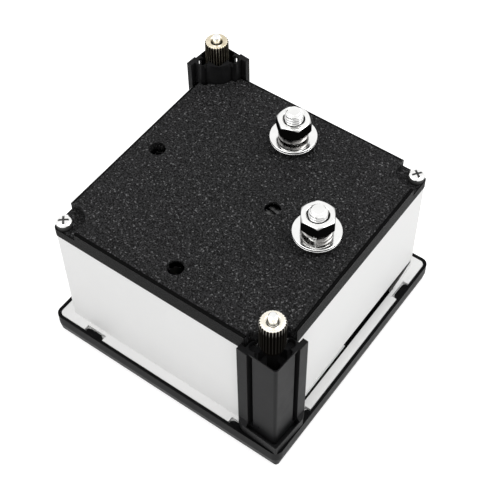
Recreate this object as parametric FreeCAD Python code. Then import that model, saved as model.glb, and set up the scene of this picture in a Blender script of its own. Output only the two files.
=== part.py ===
import FreeCAD, Part
import math
import os

# Square analog panel meter with a moving-coil movement, seen here from its rear.
# Millimetres. The meter lies on its front: z = 0 is the bezel's front face, +Z points to the rear.
# The origin is the centre of the front face. Seen from the front, the scale's top is towards -Y.
# The movement turns about an axis parallel to Z near the corner at +X +Y.

V = FreeCAD.Vector
UP = V(0, 0, 1)

# General clearances
slip = 0.05            # radial clearance of a turning fit
seat = 0.02            # radial clearance of a screw or pin that stays put
over = 1.0             # how far a cutting body runs past the face it cuts
bite = 0.1             # how far a joined body sinks into its neighbour

# Bezel
bezel_side = 72.0
bezel_front_inset = 0.65
bezel_depth = 6.4
bezel_bevel = 3.0
bezel_radius = 2.2
bezel_front_radius = 0.9
rim_wall = 0.8
frame_width = 5.5
window_bevel = 0.8
window_radius = 1.2
pane_lip = 1.0
pane_overlap = 1.1
pane_thickness = 1.5
pane_clearance = 0.1
ledge_width = 1.8

# Snap hooks, two a side
hook_inset = 12.6
hook_length = 5.0
hook_stem = 0.95
hook_barb = 0.5
hook_barb_height = 0.7
hook_clearance = 0.15
hook_drop = 0.05
hook_slant = 0.1
hook_corner = 1.0
notch_end_gap = 0.5

# Case
case_inset = 3.5
case_rear = 39.8
case_wall = 1.8
case_radius = 1.0
flange_thickness = 2.0
flange_sink = 0.13
flange_gap = 0.15
deck_front = 9.7
deck_thickness = 1.5
post_radius = 3.4
pilot_depth = 12.0

# Slot low on the wall at +X, from the clamp corner to the plain one
slot_top = 9.9
slot_start_inset = 10.5
slot_end_inset = 1.3
slot_ramp_inset = 10.0
slot_ramp_top = 9.1

# Back cover
cover_overhang = 0.15
cover_height = 5.1
cover_plate = 2.4
cover_skirt = 3.0
cover_edge = 0.35
cover_radius = 1.2
corner_inset = 1.9
recess_reach = 5.0
recess_depth = 2.5
recess_radius = 4.4
pad_wall = 1.4
lip_height = 1.0
lip_width = 1.0
lip_length = 36.0
lip_clearance = 0.1
spare_hole_radius = 2.1
spare_hole_inset = 6.2

# Cover screws
screw_head_radius = 2.0
screw_head_height = 1.7
screw_head_bulge = 0.45
screw_radius = 1.1
screw_length = 11.0
cross_width = 0.5
cross_length = 2.4
cross_depth = 0.8

# Terminals
terminal_inset = 11.0
stud_radius = 2.5
stud_tip = 55.95
stud_chamfer = 0.55
boss_radius = 5.5
boss_height = 1.3
flat_washer_radius = 6.0
flat_washer_thickness = 0.6
flat_washers_stacked = 2
spring_washer_radius = 3.85
spring_washer_thickness = 1.2
spring_washer_rise = 1.2
spring_washer_gap = 14.0
nut_flats = 8.0
nut_height = 3.5
nut_face_ratio = 0.48
nut_chamfer_angle = 30.0
nut_mouth = 0.3
thread_root = 2.1
thread_root_start = 0.4
thread_root_end = 0.15
nut_turns = (3.0, 19.0)
split_turns = (-66.0, 100.0)
stud_head_radius = 4.2
stud_head_height = 2.5
lug_thickness = 0.8
lug_width = 3.0
lug_reach = 9.0
lug_drop = 8.0
lug_turn = 30.0

# Adjuster in the rear well
well_x = 8.2
well_y = 0.9
well_radius = 2.02
trimmer_radius = 1.8
trimmer_sink = 1.3
trimmer_stem = 3.3
trimmer_side = 6.6
trimmer_height = 4.0
trimmer_slot_width = 0.7
trimmer_slot_depth = 0.8
trimmer_slot_turn = -10.0

# Clamp studs, nuts and brackets
clamp_stud_inset_x = 2.05
clamp_stud_inset_y = 1.75
clamp_stud_radius = 1.25
clamp_stud_tip = 57.2
clamp_stud_chamfer = 0.45
clamp_head_radius = 2.2
clamp_head_height = 1.2
thumb_radius = 3.08
thumb_height = 10.0
thumb_teeth = 26
thumb_tooth_depth = 0.22
thumb_collar_radius = 2.6
thumb_collar_height = 1.0
thumb_mouth = 0.45
thumb_chamfer = 0.3
near_nut_top = 54.9
far_nut_top = 55.5
clamp_outer = 3.55
clamp_reach = 5.9
clamp_side = 0.1
clamp_middle_radius = 4.6
clamp_inner_radius = 0.8
clamp_wing_end = 7.4
clamp_wing = 0.95
clamp_wing_proud = 0.5
clamp_flare = 1.5
clamp_trench = 1.9
clamp_rim = 0.3
clamp_pit_radius = 0.3
clamp_pit_depth = 0.3
clamp_pit_side = 1.5
clamp_pit_height = 4.2
clamp_short = 4.65
clamp_foot = 2.9
clamp_foot_reach = 4.95
clamp_foot_slant = 1.8
clamp_foot_radius = 0.4
clamp_edge_radius = 0.8
clamp_notch_clearance = 0.5
clamp_turn_room = 0.4
clamp_rest_gap = 0.1
clamp_nut_gap = 0.3
clamp_hole_radius = 1.6
clamp_pocket_wall = 0.25
clamp_pocket_radius = 0.9
clamp_pocket_depth = 5.4
groove_start = 3.25
groove_width = 1.2
groove_depth = 2.2
groove_top_gap = 0.6
ear_reach = 4.4
ear_side = 1.2
ear_radius = 1.35
ear_depth = 1.5
near_twist = -3.3
far_twist = -4.5
near_shift = (0.17, 0.17)
far_shift = (0.0, 0.16)

# Dial
pivot_inset = 14.5
dial_gap = 0.9
dial_thickness = 0.5
dial_opening = 13.4
dial_corner_reach = 5.36
dial_screw_head = 1.6
dial_screw_head_height = 0.8
dial_screw_radius = 0.9
dial_screw_edge = 2.8
dial_screw_corner = 3.3
dial_screw_side = 8.0
dial_screw_turn = 30.0
small_slot_width = 0.4
small_slot_depth = 0.4
stop_radius = 24.0
stop_pin_radius = 0.5
stop_pin_height = 1.7
stop_margin = 5.4
shield_thickness = 0.8
shield_reach = 15.7
shield_overlap = 1.0

# Pointer and moving coil; the pointer rests towards -X and swings to -Y
pointer_rest = 180.0
pointer_sweep = 90.0
pointer_margin = 7.8
pointer_root_width = 1.4
pointer_tip_width = 0.5
pointer_thickness = 0.35
pointer_gap = 0.85
pointer_hub_radius = 1.9
pointer_hub_height = 0.8
tail_length = 7.0
tail_weight_radius = 1.1
tail_weight_height = 1.0
cross_arm_length = 4.4
staff_radius = 0.6
staff_point = 0.8
collet_radius = 1.1
coil_inner = 8.1
former_wall = 0.4
former_width = 5.0
winding_depth = 0.7
winding_width = 4.4
winding_gap = 0.6

# Magnet system
core_radius = 7.4
core_gap = 0.5
core_drop = 0.2
ring_gap = 0.34
ring_wall = 2.5
holder_thickness = 1.8
holder_web_angle = 12.0
ear_screw_radius = 15.3
holder_ear_width = 6.0
movement_screw_radius = 1.0
movement_head_radius = 1.9
movement_head_height = 1.2
movement_screw_bite = 1.2
ring_height = 11.8

# Bridges, jewel screws, springs and zero setting
bridge_thickness = 1.2
bridge_width = 5.0
bridge_boss_radius = 2.0
bridge_boss_height = 1.1
pillar_radius = 1.4
jewel_radius = 1.0
jewel_length = 2.7
jewel_stand = 0.2
jewel_cup = 0.6
jewel_cup_slope = 1.2
jewel_spring_gap = 0.3
rear_spring_gap = 0.7
rear_jewel_gap = 1.0
pivot_play = 0.08
spring_height = 0.6
spring_wire = 0.12
spring_pitch = 1.0
spring_start = 1.45
spring_half_turns = 7
front_spring_stand = 0.5
spring_stud_width = 0.8
adjuster_reach = 9.05
adjuster_head_radius = 2.5
adjuster_sink = 0.5
adjuster_flange_radius = 3.0
adjuster_flange_height = 0.7
adjuster_pin_radius = 0.6
adjuster_throw = 1.2
adjuster_slot_width = 0.9
adjuster_slot_depth = 0.9
zero_angle = 45.0
bridge_angle = zero_angle + 90.0
lever_thickness = 0.5
lever_gap = 0.4
lever_ring_wall = 1.25
lever_arm_width = 3.6
lever_fork_gap = 0.1
lever_fork_reach = 1.5
lever_back_gap = 0.4

# Places worked out from the sizes above
rim_half = bezel_side / 2
bezel_front_half = rim_half - bezel_front_inset
window_half = rim_half - frame_width
hook_offset = rim_half - hook_inset
rim_inner = rim_half - rim_wall
pane_back = pane_lip + pane_thickness
pane_half = window_half + pane_overlap
flange_rear = bezel_depth - flange_sink
flange_front = flange_rear - flange_thickness
flange_half = rim_inner - flange_gap
case_half = rim_half - case_inset
case_inner = case_half - case_wall
deck_rear = deck_front + deck_thickness
cover_half = case_half + cover_overhang
cover_rear = case_rear + cover_height
plate_front = cover_rear - cover_plate
recess_floor = cover_rear - recess_depth
corner = case_half - corner_inset
spare_hole_offset = case_half - spare_hole_inset
terminal_offset = case_half - terminal_inset
slot_end = case_half - slot_end_inset
slot_ramp_start = case_half - slot_ramp_inset
clamp_stud_x = case_half - clamp_stud_inset_x
clamp_stud_y = case_half - clamp_stud_inset_y
clamp_length = case_rear - clamp_short
clamp_skin = clamp_outer + clamp_wing_proud
groove_end = groove_start + groove_width
notch_reach = clamp_reach + clamp_notch_clearance
notch_side = clamp_notch_clearance - clamp_side + clamp_turn_room
notch_middle_radius = clamp_middle_radius + clamp_notch_clearance
boss_rear = cover_rear + boss_height
washer_rear = boss_rear + flat_washers_stacked * flat_washer_thickness
nut_front = washer_rear + spring_washer_thickness + spring_washer_rise
nut_rear = nut_front + nut_height
lug_front = plate_front - lug_thickness
clamp_rest = bezel_depth + clamp_rest_gap
near_clamp_front = clamp_rest
far_clamp_front = far_nut_top - thumb_height - clamp_nut_gap + clamp_pocket_depth - clamp_length
dial_front = deck_front - dial_thickness
dial_half = case_inner - dial_gap
pivot_offset = case_half - pivot_inset
pointer_length = dial_half + pivot_offset - pointer_margin
pointer_front = dial_front - pointer_gap - pointer_thickness
coil_outer = coil_inner + former_wall
winding_outer = coil_outer + winding_depth
coil_sweep = math.hypot(winding_outer, winding_width / 2)
ring_inner = coil_sweep + ring_gap
ring_outer = ring_inner + ring_wall
winding_front = deck_rear + winding_gap
former_front = winding_front + winding_depth
core_front = former_front + former_wall + core_gap
holder_rear = deck_rear + holder_thickness
ring_rear = holder_rear + ring_height
core_rear = ring_rear - core_drop
former_rear = core_rear + core_gap + former_wall
winding_rear = former_rear + winding_depth
pillar_reach = ring_inner + ring_wall / 2
spring_front = pointer_front - front_spring_stand - spring_height
jewel_back = spring_front - jewel_spring_gap
front_bridge_rear = jewel_back - jewel_stand
front_bridge_front = front_bridge_rear - bridge_thickness
rear_spring_front = winding_rear + rear_spring_gap
rear_jewel_front = rear_spring_front + spring_height + rear_jewel_gap
rear_bridge_front = rear_jewel_front + jewel_stand
rear_bridge_rear = rear_bridge_front + bridge_thickness
lever_rear = front_bridge_front - lever_gap
lever_front = lever_rear - lever_thickness
spring_end = spring_start + spring_pitch * (spring_half_turns - 1) / 2
spring_stud_reach = spring_end + spring_wire + spring_stud_width / 2
adjuster_x = pivot_offset + adjuster_reach / math.sqrt(2)


def box(x0, x1, y0, y1, z0, z1):
    """Block between two corners."""
    return Part.makeBox(x1 - x0, y1 - y0, z1 - z0, V(x0, y0, z0))


def cylinder(radius, z0, z1, x=0.0, y=0.0):
    """Upright cylinder."""
    return Part.makeCylinder(radius, z1 - z0, V(x, y, z0))


def tube(inner, outer, z0, z1, x=0.0, y=0.0):
    """Upright ring."""
    hole = cylinder(inner, z0 - over, z1 + over, x, y)
    return cylinder(outer, z0, z1, x, y).cut(hole)


def rounded_outline(x0, x1, y0, y1, radius, z):
    """Closed rectangle with rounded corners at one height."""
    spots = (
        (x1 - radius, y1 - radius, 0),
        (x0 + radius, y1 - radius, 90),
        (x0 + radius, y0 + radius, 180),
        (x1 - radius, y0 + radius, 270),
    )
    arcs = [Part.makeCircle(radius, V(x, y, z), UP, turn, turn + 90) for x, y, turn in spots]
    edges = []
    for index, arc in enumerate(arcs):
        following = arcs[(index + 1) % 4]
        edges.append(arc)
        edges.append(Part.makeLine(arc.lastVertex().Point, following.firstVertex().Point))
    return Part.Wire(edges)


def rounded_block(x0, x1, y0, y1, radius, z0, z1):
    """Upright block with rounded corners."""
    face = Part.Face(rounded_outline(x0, x1, y0, y1, radius, z0))
    return face.extrude(V(0, 0, z1 - z0))


def square_block(half, radius, z0, z1):
    """Square block centred on the origin."""
    return rounded_block(-half, half, -half, half, radius, z0, z1)


def square_taper(half0, half1, radius0, radius1, z0, z1):
    """Square block whose side and corner radius change from one height to the other."""
    front = rounded_outline(-half0, half0, -half0, half0, radius0, z0)
    rear = rounded_outline(-half1, half1, -half1, half1, radius1, z1)
    return Part.makeLoft([front, rear], True, True)


def prism(points, z0, z1):
    """Upright prism on a polygon."""
    corners = [V(x, y, z0) for x, y in points]
    return Part.Face(Part.makePolygon(corners + corners[:1])).extrude(V(0, 0, z1 - z0))


def turned(profile):
    """Body turned about the Z axis from radius and height pairs."""
    corners = [V(radius, 0, z) for radius, z in profile]
    return Part.Face(Part.makePolygon(corners + corners[:1])).revolve(V(0, 0, 0), UP, 360)


def placed(shape, x=0.0, y=0.0, z=0.0, turn=0.0):
    """Copy turned about the Z axis and then moved."""
    moved = shape.copy()
    moved.rotate(V(0, 0, 0), UP, turn)
    moved.translate(V(x, y, z))
    return moved


def joined(first, *others):
    """One solid from overlapping or touching pieces."""
    return first.multiFuse(list(others)).removeSplitter()


def corner_cut(sx, sy, reach, radius, z0, z1):
    """Block that takes in one corner of the square, with its inner edge rounded."""
    far = bezel_side
    near = corner - reach
    xs = sorted((sx * near, sx * far))
    ys = sorted((sy * near, sy * far))
    return rounded_block(xs[0], xs[1], ys[0], ys[1], radius, z0, z1)


def clamp_room(sx, grow, z0, z1):
    """Room for a bracket at the clamp corner at sx: an arm along each wall and a round middle."""
    x = sx * clamp_stud_x
    y = -sx * clamp_stud_y
    end = notch_reach + grow
    side = notch_side + grow
    far = bezel_side
    bend = clamp_inner_radius + grow
    xs = sorted((x - sx * end, sx * far))
    ys = sorted((y + sx * side, -sx * far))
    along_x = rounded_block(xs[0], xs[1], ys[0], ys[1], bend, z0, z1)
    xs = sorted((x - sx * side, sx * far))
    ys = sorted((y + sx * end, -sx * far))
    along_y = rounded_block(xs[0], xs[1], ys[0], ys[1], bend, z0, z1)
    middle = cylinder(notch_middle_radius + grow, z0, z1, x, y)
    return along_x.multiFuse([along_y, middle])


def at_pivot(shape, turn=0.0, z=0.0):
    """Moves a body made about the origin to the movement's axis."""
    return placed(shape, pivot_offset, pivot_offset, z, turn)


def around_sides(shape):
    """Copies of a body for the four sides of the square."""
    return [placed(shape, turn=90.0 * side) for side in range(4)]


def save(name, shape):
    """Writes one node."""
    shape.exportStep("parts/" + name + ".step")
    print(name, len(shape.Solids), round(shape.Volume, 2), shape.isValid())


def make_hook(offset):
    """Snap hook that rises from the ledge at the -Y side and reaches over the flange's step."""
    stem = rim_inner - hook_stem
    top = flange_rear - hook_drop
    profile = (
        (rim_inner + rim_wall / 2, flange_front - over),
        (stem, flange_front - over),
        (stem, top - hook_barb_height - hook_slant),
        (stem - hook_barb, top - hook_barb_height),
        (stem - hook_barb, top - hook_barb_height / 2),
        (stem, top),
        (rim_inner + rim_wall / 2, top),
    )
    corners = [V(0, -reach, z) for reach, z in profile]
    hook = Part.Face(Part.makePolygon(corners + corners[:1])).extrude(V(hook_length, 0, 0))
    plan = rounded_block(0, hook_length, -rim_half - over, hook_barb - stem, hook_corner, 0, bezel_depth)
    return placed(hook.common(plan), offset - hook_length / 2)


def make_bezel():
    """Front frame: bevelled outside, pane rebate, ledge for the flange, thin rim and snap hooks."""
    outside = joined(
        square_taper(bezel_front_half, rim_half, bezel_front_radius, bezel_radius, 0, bezel_bevel),
        square_block(rim_half, bezel_radius, bezel_bevel, bezel_depth),
    )
    bend = window_radius
    inside = (
        square_block(window_half, bend, -over, pane_lip + over),
        square_taper(window_half + window_bevel, window_half, bend, bend, 0, window_bevel),
        square_block(pane_half + pane_clearance, bend, pane_lip, pane_back),
        square_block(rim_inner - ledge_width, bezel_radius - rim_wall, pane_back, flange_front),
        square_block(rim_inner, bezel_radius - rim_wall, flange_front, bezel_depth + over),
    )
    frame = outside.cut(list(inside))
    hooks = [make_hook(side * hook_offset) for side in (-1, 1)]
    around = [copy for hook in hooks for copy in around_sides(hook)]
    return joined(frame, *around)


def make_window():
    """Clear pane with a hole for the zero adjuster."""
    pane = square_block(pane_half, window_radius, pane_lip, pane_back)
    hole = cylinder(adjuster_head_radius + slip, 0, pane_back + over, adjuster_x, adjuster_x)
    return pane.cut(hole)


def make_flange_notch(offset):
    """Cut in the flange's edge at the -Y side: open for the hook's stem, stepped under its barb."""
    half = hook_length / 2 + notch_end_gap
    stem = rim_inner - hook_stem - hook_clearance
    barb = stem - hook_barb - hook_clearance
    step = flange_rear - hook_drop - hook_barb_height - hook_slant - hook_clearance
    x0 = offset - half
    x1 = offset + half
    open_part = box(x0, x1, -flange_half - over, -stem, flange_front - over, flange_rear + over)
    step_part = box(x0, x1, -stem - over, -barb, step, flange_rear + over)
    return open_part.fuse(step_part)


def make_slot():
    """Long slot low on the wall at +X, cut on down through the flange and ramped at one end.

    The ramp's floor falls towards the inside, so that the slot looks open along its whole length.
    """
    start = slot_start_inset - case_half
    bottom = flange_front - over
    straight = box(case_inner - bite, case_half, start, slot_ramp_start, bottom, slot_top)
    outside = (
        (slot_ramp_start - bite, flange_rear),
        (slot_end, slot_ramp_top),
        (slot_end, slot_top),
        (slot_ramp_start - bite, slot_top),
    )
    inside = (
        (slot_ramp_start - bite, bottom),
        (slot_end, bottom),
        (slot_end, slot_top),
        (slot_ramp_start - bite, slot_top),
    )
    inner = [V(case_inner - bite, y, z) for y, z in inside]
    outer = [V(case_half + bite, y, z) for y, z in outside]
    wires = [Part.makePolygon(corners + corners[:1]) for corners in (inner, outer)]
    ramp = Part.makeLoft(wires, True, True)
    return straight.fuse(ramp)


def make_case():
    """White housing: flange, walls, two clamp corners, dial deck and two screw posts."""
    shell = joined(
        square_block(flange_half, bezel_radius - rim_wall, flange_front, flange_rear),
        square_block(case_half, case_radius, flange_front, case_rear),
    )
    cavity = square_block(case_inner, case_radius / 2, flange_front - over, case_rear + over)
    for sx in (1, -1):
        cavity = cavity.cut(clamp_room(sx, case_wall, 0, case_rear + 2 * over))
    shell = shell.cut(cavity)
    for sx in (1, -1):
        shell = shell.cut(clamp_room(sx, 0, flange_rear, case_rear + over))
        hole = cylinder(clamp_stud_radius + seat, 0, case_rear, sx * clamp_stud_x, -sx * clamp_stud_y)
        shell = shell.cut(hole)
    deck = square_block(case_inner + case_wall / 2, case_radius / 2, deck_front, deck_rear)
    for sx in (1, -1):
        deck = deck.cut(clamp_room(sx, case_wall / 2, 0, case_rear))
    opening = cylinder(dial_opening, deck_front - over, deck_rear + over, pivot_offset, pivot_offset)
    deck = deck.cut(opening)
    posts = [cylinder(post_radius, deck_rear - bite, case_rear, s * corner, s * corner) for s in (-1, 1)]
    walls = square_block(case_half, case_radius, flange_front, case_rear)
    posts = [post.common(walls) for post in posts]
    body = joined(shell, deck, *posts)
    pilot_front = case_rear - pilot_depth
    for s in (-1, 1):
        pilot = cylinder(screw_radius + seat, pilot_front, case_rear + over, s * corner, s * corner)
        body = body.cut(pilot)
    for x, y in dial_screw_spots():
        body = body.cut(cylinder(dial_screw_radius + seat, deck_front - over, deck_rear + over, x, y))
    for x, y in movement_screw_spots():
        body = body.cut(cylinder(movement_screw_radius + seat, deck_front - over, deck_rear + over, x, y))
    for notch in (make_flange_notch(hook_offset), make_flange_notch(-hook_offset)):
        body = body.cut(around_sides(notch))
    return body.cut(make_slot())


def make_back_cover():
    """Black cap: plate with skirt and lip, corner recesses, clamp corners, bosses and holes."""
    edge_front = cover_rear - cover_edge
    skin = joined(
        square_block(cover_half, cover_radius, case_rear, edge_front),
        square_taper(cover_half, cover_half - cover_edge, cover_radius, cover_radius, edge_front, cover_rear),
    )
    pocket = square_block(cover_half - cover_skirt, cover_radius, case_rear - over, plate_front)
    for s in (-1, 1):
        pocket = pocket.cut(corner_cut(s, s, recess_reach + pad_wall, recess_radius, 0, cover_rear + over))
        pocket = pocket.cut(clamp_room(s, case_wall, 0, cover_rear + over))
    cap = skin.cut(pocket)
    inner = cover_half - cover_skirt
    outer = case_inner - lip_clearance
    lip = box(-lip_length / 2, lip_length / 2, -outer, -inner, case_rear - lip_height, case_rear + bite)
    bosses = [cylinder(boss_radius, plate_front, boss_rear, x, y) for x, y in terminal_spots()]
    cap = joined(cap, *around_sides(lip), *bosses)
    for s in (-1, 1):
        cap = cap.cut(corner_cut(s, s, recess_reach, recess_radius, recess_floor, cover_rear + over))
        cap = cap.cut(clamp_room(s, 0, 0, cover_rear + over))
        hole = cylinder(screw_radius + 2 * slip, 0, cover_rear, s * corner, s * corner)
        cap = cap.cut(hole)
    for x, y in terminal_spots():
        cap = cap.cut(cylinder(stud_radius + seat, 0, boss_rear + over, x, y))
    for x, y in ((-spare_hole_offset, 0), (0, -spare_hole_offset)):
        cap = cap.cut(cylinder(spare_hole_radius, 0, cover_rear + over, x, y))
    return cap.cut(cylinder(well_radius, 0, cover_rear + over, well_x, well_y))


def make_cover_screw(s):
    """Pan-head screw with a cross recess."""
    bulge = screw_head_bulge
    head = turned((
        (0, recess_floor),
        (screw_head_radius, recess_floor),
        (screw_head_radius, recess_floor + screw_head_height - bulge),
        (screw_head_radius - bulge / 2, recess_floor + screw_head_height - bulge / 4),
        (screw_head_radius - bulge * 1.5, recess_floor + screw_head_height),
        (0, recess_floor + screw_head_height),
    ))
    shank = cylinder(screw_radius, recess_floor - screw_length, recess_floor)
    top = recess_floor + screw_head_height
    half = cross_width / 2
    bar = box(-cross_length / 2, cross_length / 2, -half, half, top - cross_depth, top + over)
    screw = joined(head, shank).cut([placed(bar, turn=45), placed(bar, turn=135)])
    return placed(screw, s * corner, s * corner)


def terminal_spots():
    """Axes of the two terminals."""
    return ((terminal_offset, 0.0), (0.0, terminal_offset))


def make_terminal_stud(x, y):
    """Stud with a round head under the cover's plate and a chamfered end.

    The thread is drawn at its crest, and goes down to its root once, at the nut's mouth.
    """
    stud = turned((
        (0, lug_front - stud_head_height),
        (stud_head_radius, lug_front - stud_head_height),
        (stud_head_radius, lug_front),
        (stud_radius, lug_front),
        (stud_radius, nut_rear - thread_root_start),
        (thread_root, nut_rear - thread_root_start),
        (thread_root, nut_rear + thread_root_end),
        (stud_radius, nut_rear + thread_root_end),
        (stud_radius, stud_tip - stud_chamfer),
        (stud_radius - stud_chamfer, stud_tip),
        (0, stud_tip),
    ))
    return placed(stud, x, y)


def make_flat_washers(x, y):
    """Stack of flat washers; a wire's eyelet goes between them."""
    washer = tube(stud_radius + 3 * slip, flat_washer_radius, 0, flat_washer_thickness)
    levels = [boss_rear + step * flat_washer_thickness for step in range(flat_washers_stacked)]
    return [placed(washer, x, y, level) for level in levels]


def make_spring_washer(x, y, turn):
    """Split spring washer: one turn of a flat helix with its ends apart."""
    inner = stud_radius + 3 * slip
    middle = (inner + spring_washer_radius) / 2
    half = (spring_washer_radius - inner) / 2
    span = 360.0 - spring_washer_gap
    pitch = spring_washer_rise * 360.0 / span
    path = Part.makeHelix(pitch, spring_washer_rise, middle)
    corners = (
        V(middle - half, 0, 0),
        V(middle + half, 0, 0),
        V(middle + half, 0, spring_washer_thickness),
        V(middle - half, 0, spring_washer_thickness),
    )
    section = Part.makePolygon(list(corners) + [corners[0]])
    coil = Part.Wire(path).makePipeShell([section], True, True)
    return placed(coil, x, y, washer_rear, turn + spring_washer_gap / 2)


def make_terminal_nut(x, y, turn):
    """Hexagon nut, chamfered on both faces, with a countersunk hole."""
    point = nut_flats / math.sqrt(3)
    face_radius = nut_flats * nut_face_ratio
    drop = (point - face_radius) * math.tan(math.radians(nut_chamfer_angle))
    angles = [math.radians(60 * side) for side in range(6)]
    spots = [(point * math.cos(angle), point * math.sin(angle)) for angle in angles]
    blank = turned((
        (0, nut_front),
        (face_radius, nut_front),
        (point, nut_front + drop),
        (point, nut_rear - drop),
        (face_radius, nut_rear),
        (0, nut_rear),
    ))
    mouth = nut_mouth
    hole = turned((
        (0, nut_front - over),
        (stud_radius + seat, nut_front - over),
        (stud_radius + seat, nut_rear - mouth),
        (stud_radius + seat + mouth, nut_rear),
        (stud_radius + seat + mouth, nut_rear + over),
        (0, nut_rear + over),
    ))
    nut = prism(spots, nut_front, nut_rear).common(blank).cut(hole)
    return placed(nut, x, y, turn=turn)


def make_lug(x, y):
    """Brass lug under a terminal's stud head, bent towards the movement."""
    ring = tube(stud_radius + 3 * slip, stud_head_radius, lug_front, plate_front)
    half = lug_width / 2
    tongue = box(stud_head_radius - over, lug_reach, -half, half, lug_front, plate_front)
    tail = box(lug_reach - lug_thickness, lug_reach, -half, half, lug_front - lug_drop, plate_front)
    aim = math.degrees(math.atan2(pivot_offset - y, pivot_offset - x))
    side = lug_turn if x > y else -lug_turn
    return placed(joined(ring, tongue, tail), x, y, turn=aim + side)


def make_trimmer_body():
    """Housing of the rear adjuster, seated under the cover's plate."""
    half = trimmer_side / 2
    body = box(-half, half, -half, half, plate_front - trimmer_height, plate_front)
    bore = cylinder(trimmer_radius + slip, plate_front - trimmer_stem + cover_plate, plate_front + over)
    return placed(body.cut(bore), well_x, well_y)


def make_trimmer_screw():
    """Slotted adjuster in the well, running in its housing."""
    top = cover_rear - trimmer_sink
    bottom = plate_front - trimmer_stem + cover_plate + slip
    half = trimmer_slot_width / 2
    body = cylinder(trimmer_radius, bottom, top)
    slot = box(-trimmer_radius, trimmer_radius, -half, half, top - trimmer_slot_depth, top + over)
    return placed(body.cut(slot), well_x, well_y, turn=trimmer_slot_turn)


def make_clamp_stud(sx):
    """Long stud whose head lies in front of the flange, with a chamfered end."""
    stud = turned((
        (0, flange_front - clamp_head_height),
        (clamp_head_radius, flange_front - clamp_head_height),
        (clamp_head_radius, flange_front),
        (clamp_stud_radius, flange_front),
        (clamp_stud_radius, clamp_stud_tip - clamp_stud_chamfer),
        (clamp_stud_radius - clamp_stud_chamfer, clamp_stud_tip),
        (0, clamp_stud_tip),
    ))
    return placed(stud, sx * clamp_stud_x, -sx * clamp_stud_y)


def toothed_outline(crest, z):
    """Closed outline of the knurling at one height, with its crests at the given radius."""
    corners = []
    for index in range(2 * thumb_teeth):
        radius = crest * (1 - thumb_tooth_depth / thumb_radius * (index % 2))
        angle = math.pi * index / thumb_teeth
        corners.append(V(radius * math.cos(angle), radius * math.sin(angle), z))
    return Part.makePolygon(corners + corners[:1])


def make_thumb_nut(sx, top):
    """Thumb nut with straight knurling, a plain collar and a countersunk mouth."""
    bottom = top - thumb_height
    shoulder = bottom + thumb_collar_height
    grip = Part.makeLoft([
        toothed_outline(thumb_collar_radius, shoulder),
        toothed_outline(thumb_radius, shoulder + (thumb_radius - thumb_collar_radius) / 2),
        toothed_outline(thumb_radius, top - thumb_chamfer),
        toothed_outline(thumb_radius - thumb_chamfer, top),
    ], True, True)
    collar = cylinder(thumb_collar_radius - thumb_tooth_depth, bottom, shoulder + bite)
    hole = turned((
        (0, bottom - over),
        (clamp_stud_radius + slip, bottom - over),
        (clamp_stud_radius + slip, top - thumb_mouth),
        (clamp_stud_radius + slip + thumb_mouth, top),
        (clamp_stud_radius + slip + thumb_mouth, top + over),
        (0, top + over),
    ))
    return placed(joined(grip, collar).cut(hole), sx * clamp_stud_x, -sx * clamp_stud_y)


def make_clamp():
    """Clamp bracket about its stud's axis, for the corner at +X -Y, standing on z = 0.

    A corner block with short wings along both walls that stand a little proud of it.
    Grooves part block and wings and run on into a trench behind the foot's rim.
    The wings flare out to the foot, and a square pocket takes the nut.
    """
    outer = clamp_outer
    far = 2 * clamp_wing_end
    bend = clamp_inner_radius - clamp_side
    arm = rounded_block(-clamp_reach, far, -far, -clamp_side, bend, 0, clamp_length)
    block = arm.multiFuse([mirrored(arm), cylinder(clamp_middle_radius, 0, clamp_length)])
    block = block.common(rounded_block(-far, outer, -outer, far, clamp_edge_radius, 0, clamp_length))
    wing = box(-clamp_wing_end, -groove_end, -clamp_skin, -outer + clamp_wing, 0, clamp_length)
    reach = clamp_foot_reach
    bend = clamp_foot_radius
    heel = clamp_wing_end - clamp_foot_slant
    top = clamp_foot + clamp_flare + over
    foot = rounded_block(-clamp_wing_end - over, reach, -reach, clamp_wing_end + over, bend, 0, clamp_foot)
    rim = reach - clamp_rim
    floor = clamp_foot - clamp_trench
    foot = foot.cut(rounded_block(-groove_end, rim, -rim, groove_end, bend, floor, clamp_foot + over))
    slope = [
        V(-clamp_wing_end, -clamp_skin, clamp_foot - bite),
        V(-clamp_wing_end, -reach, clamp_foot - bite),
        V(-clamp_wing_end, -reach, clamp_foot),
        V(-clamp_wing_end, -clamp_skin, clamp_foot + clamp_flare),
    ]
    flare = Part.Face(Part.makePolygon(slope + slope[:1])).extrude(V(clamp_wing_end - groove_end, 0, 0))
    foot = foot.multiFuse([flare, mirrored(flare)])
    ends = (
        prism(((-clamp_wing_end, -clamp_skin), (-heel, -reach), (-heel, -reach - over), (-far, -reach - over),
               (-far, -clamp_skin)), -over, top),
        box(-far, -clamp_wing_end, -far, far, -over, top),
        box(-far, outer - clamp_wing, -outer + clamp_wing, far, -over, top),
    )
    foot = foot.cut(ends[0])
    foot = foot.cut(mirrored(ends[0]))
    foot = foot.cut(ends[1])
    foot = foot.cut(mirrored(ends[1]))
    foot = foot.cut(ends[2])
    groove = box(-groove_end, -groove_start, -clamp_skin - over, -outer + groove_depth,
                 clamp_foot, clamp_length - groove_top_gap)
    ear = cylinder(ear_radius, clamp_length - ear_depth, clamp_length + over, -ear_reach, -ear_side)
    pit = Part.makeCylinder(clamp_pit_radius, clamp_pit_depth + over,
                            V(-clamp_pit_side, -outer - over, clamp_pit_height), V(0, 1, 0))
    hole = cylinder(clamp_hole_radius, -over, clamp_length + over)
    side = outer - clamp_pocket_wall
    pocket = square_block(side, clamp_pocket_radius, clamp_length - clamp_pocket_depth, clamp_length + over)
    body = joined(block, wing, mirrored(wing), foot)
    return body.cut([groove, mirrored(groove), ear, mirrored(ear), hole, pocket, pit])


def mirrored(shape):
    """Copy mirrored across the diagonal that runs through the corner at +X -Y."""
    return shape.mirror(V(0, 0, 0), V(1, 1, 0))


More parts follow.
